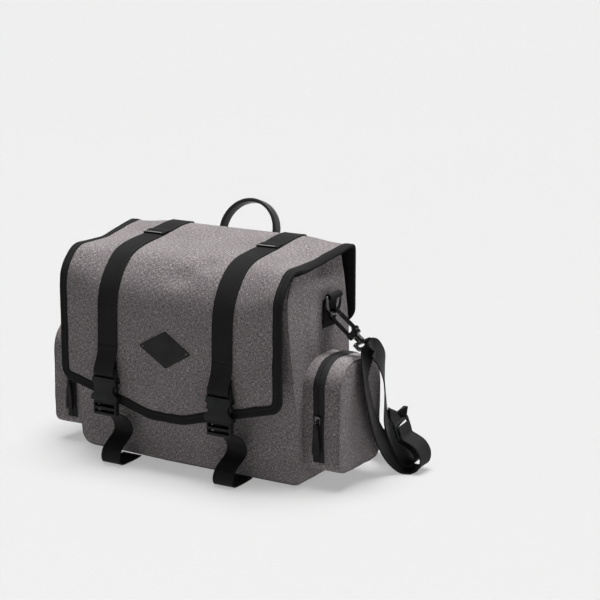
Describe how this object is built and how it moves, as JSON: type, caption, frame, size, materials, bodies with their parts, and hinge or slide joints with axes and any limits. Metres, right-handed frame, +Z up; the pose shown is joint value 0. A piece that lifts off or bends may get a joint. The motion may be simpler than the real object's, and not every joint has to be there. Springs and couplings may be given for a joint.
{
  "type": "saddle bag",
  "caption": "Grey fabric bicycle saddle bag for a rear rack, with a buckled flap, zipped side pockets, rack rails with hooks, a carry handle and a shoulder strap.",
  "frame": {"origin": "centre of the base, on the surface the bag stands on", "axes": "+X towards the right pocket as the buckles are faced, -Y to the front with the buckles, +Y to the rack, +Z up"},
  "size_m": [0.5502, 0.2767, 0.3583],
  "materials": {
    "grey_fabric": "heather melange, matt coated",
    "black_trim": "matt coated",
    "webbing": "ribbed nylon",
    "patch": "smooth matt",
    "handle_band": "satin",
    "moulded_plastic": "satin",
    "rail_plastic": "satin",
    "stiffener_board": "matt",
    "screw_steel": "polished",
    "dark_metal": "black nickel"
  },
  "bodies": {
    "root": {"back_stiffener": "stiffener_board", "base_reinforcement": "black_trim", "base_stiffener": "stiffener_board", "body_back_panel": "grey_fabric", "body_bottom_panel": "grey_fabric", "body_front_panel": "grey_fabric", "flap_back_panel": "grey_fabric", "handle_anchors": "handle_band", "lower_rail": "rail_plastic", "lower_rail_nuts": "screw_steel", "lower_rail_screws": "screw_steel", "lower_strap_left": "webbing", "lower_strap_right": "webbing", "pocket_tray_left": "grey_fabric", "pocket_tray_right": "grey_fabric", "rear_strap_left": "webbing", "rear_strap_right": "webbing", "ring_tab_left": "webbing", "ring_tab_right": "webbing", "shoulder_strap": "webbing", "side_gusset_left": "grey_fabric", "side_gusset_right": "grey_fabric", "strap_slider": "moulded_plastic", "upper_rail": "rail_plastic", "upper_rail_nuts": "screw_steel", "upper_rail_screws": "screw_steel", "zip_tape_left": "black_trim", "zip_tape_right": "black_trim"},
    "flap": {"flap_lid": "grey_fabric", "flap_strap_left": "webbing", "flap_strap_right": "webbing", "buckle_female_left": "moulded_plastic", "buckle_female_right": "moulded_plastic", "diamond_patch": "patch"},
    "handle": {"handle": "handle_band"},
    "arm_carriage": {"lower_arm_screw": "screw_steel"},
    "lower_arm": {"lower_hook_arm": "rail_plastic"},
    "buckle_left": {"buckle_male_left": "moulded_plastic"},
    "rack_hook_left": {"rack_hook_left": "rail_plastic", "rack_hook_screw_left": "screw_steel"},
    "d_ring_left": {"d_ring_left": "dark_metal", "swivel_eye_left": "dark_metal"},
    "snap_hook_left": {"snap_hook_left": "dark_metal"},
    "snap_gate_left": {"snap_gate_left": "dark_metal"},
    "pocket_cover_left": {"pocket_cover_left": "grey_fabric", "cover_zip_tape_left": "black_trim"},
    "zip_slider_left": {"zip_slider_left": "dark_metal"},
    "zip_pull_left": {"zip_pull_left": "moulded_plastic"},
    "buckle_right": {"buckle_male_right": "moulded_plastic"},
    "rack_hook_right": {"rack_hook_right": "rail_plastic", "rack_hook_screw_right": "screw_steel"},
    "d_ring_right": {"d_ring_right": "dark_metal", "swivel_eye_right": "dark_metal"},
    "snap_hook_right": {"snap_hook_right": "dark_metal"},
    "snap_gate_right": {"snap_gate_right": "dark_metal"},
    "pocket_cover_right": {"pocket_cover_right": "grey_fabric", "cover_zip_tape_right": "black_trim"},
    "zip_slider_right": {"zip_slider_right": "dark_metal"},
    "zip_pull_right": {"zip_pull_right": "moulded_plastic"}
  },
  "joints": [
    {"name": "flap_open", "type": "hinge", "parent": "root", "child": "flap", "pos_m": [0, 0.0765, 0.3185], "axis": [-1, 0, 0], "range_deg": [0, 115]},
    {"name": "handle_fold", "type": "hinge", "parent": "root", "child": "handle", "pos_m": [0, 0.0795, 0.2495], "axis": [-1, 0, 0], "range_deg": [-8, 70]},
    {"name": "lower_arm_slide", "type": "slide", "parent": "root", "child": "arm_carriage", "axis": [1, 0, 0], "range_m": [-0.094, 0.008]},
    {"name": "lower_arm_swing", "type": "hinge", "parent": "arm_carriage", "child": "lower_arm", "pos_m": [0.047, 0.09, 0.08], "axis": [0, 1, 0], "range_deg": [-50, 100]},
    {"name": "buckle_release_left", "type": "slide", "parent": "root", "child": "buckle_left", "axis": [0, 0, -1], "range_m": [0, 0.03], "deforming": ["buckle_male_left", "lower_strap_left"]},
    {"name": "rack_hook_slide_left", "type": "slide", "parent": "root", "child": "rack_hook_left", "axis": [1, 0, 0], "range_m": [-0.023, 0.023]},
    {"name": "d_ring_swing_left", "type": "hinge", "parent": "root", "child": "d_ring_left", "pos_m": [-0.1935, 0.01, 0.256], "axis": [0, 1, 0], "range_deg": [0, 75], "deforming": ["shoulder_strap"]},
    {"name": "snap_hook_swivel_left", "type": "hinge", "parent": "d_ring_left", "child": "snap_hook_left", "pos_m": [-0.19255, 0.01, 0.23173], "axis": [-0.7902, 0, -0.6129], "range_deg": [-20, 20]},
    {"name": "snap_gate_press_left", "type": "hinge", "parent": "snap_hook_left", "child": "snap_gate_left", "pos_m": [-0.2266, 0.01, 0.21444], "axis": [0, 1, 0], "range_deg": [0, 18], "stiffness_Nm_per_rad": 0.02, "springref_deg": -20.05},
    {"name": "pocket_open_left", "type": "hinge", "parent": "root", "child": "pocket_cover_left", "pos_m": [-0.2085, 0.001, 0.025], "axis": [0, -1, 0], "range_deg": [0, 40]},
    {"name": "zip_slide_left", "type": "slide", "parent": "root", "child": "zip_slider_left", "axis": [0, 0, 1], "range_m": [-0.05, 0.038]},
    {"name": "zip_pull_swing_left", "type": "hinge", "parent": "zip_slider_left", "child": "zip_pull_left", "pos_m": [-0.2085, -0.0625, 0.098], "axis": [-1, 0, 0], "range_deg": [0, 120]},
    {"name": "buckle_release_right", "type": "slide", "parent": "root", "child": "buckle_right", "axis": [0, 0, -1], "range_m": [0, 0.03], "deforming": ["buckle_male_right", "lower_strap_right"]},
    {"name": "rack_hook_slide_right", "type": "slide", "parent": "root", "child": "rack_hook_right", "axis": [1, 0, 0], "range_m": [-0.023, 0.023]},
    {"name": "d_ring_swing_right", "type": "hinge", "parent": "root", "child": "d_ring_right", "pos_m": [0.1935, 0.01, 0.256], "axis": [0, -1, 0], "range_deg": [0, 75], "deforming": ["shoulder_strap"]},
    {"name": "snap_hook_swivel_right", "type": "hinge", "parent": "d_ring_right", "child": "snap_hook_right", "pos_m": [0.19255, 0.01, 0.23173], "axis": [0.7902, 0, -0.6129], "range_deg": [-20, 20]},
    {"name": "snap_gate_press_right", "type": "hinge", "parent": "snap_hook_right", "child": "snap_gate_right", "pos_m": [0.2266, 0.01, 0.21444], "axis": [0, -1, 0], "range_deg": [0, 18], "stiffness_Nm_per_rad": 0.02, "springref_deg": -20.05},
    {"name": "pocket_open_right", "type": "hinge", "parent": "root", "child": "pocket_cover_right", "pos_m": [0.2085, 0.001, 0.025], "axis": [0, 1, 0], "range_deg": [0, 40]},
    {"name": "zip_slide_right", "type": "slide", "parent": "root", "child": "zip_slider_right", "axis": [0, 0, 1], "range_m": [-0.05, 0.038]},
    {"name": "zip_pull_swing_right", "type": "hinge", "parent": "zip_slider_right", "child": "zip_pull_right", "pos_m": [0.2085, -0.0625, 0.098], "axis": [-1, 0, 0], "range_deg": [0, 120]}
  ]
}
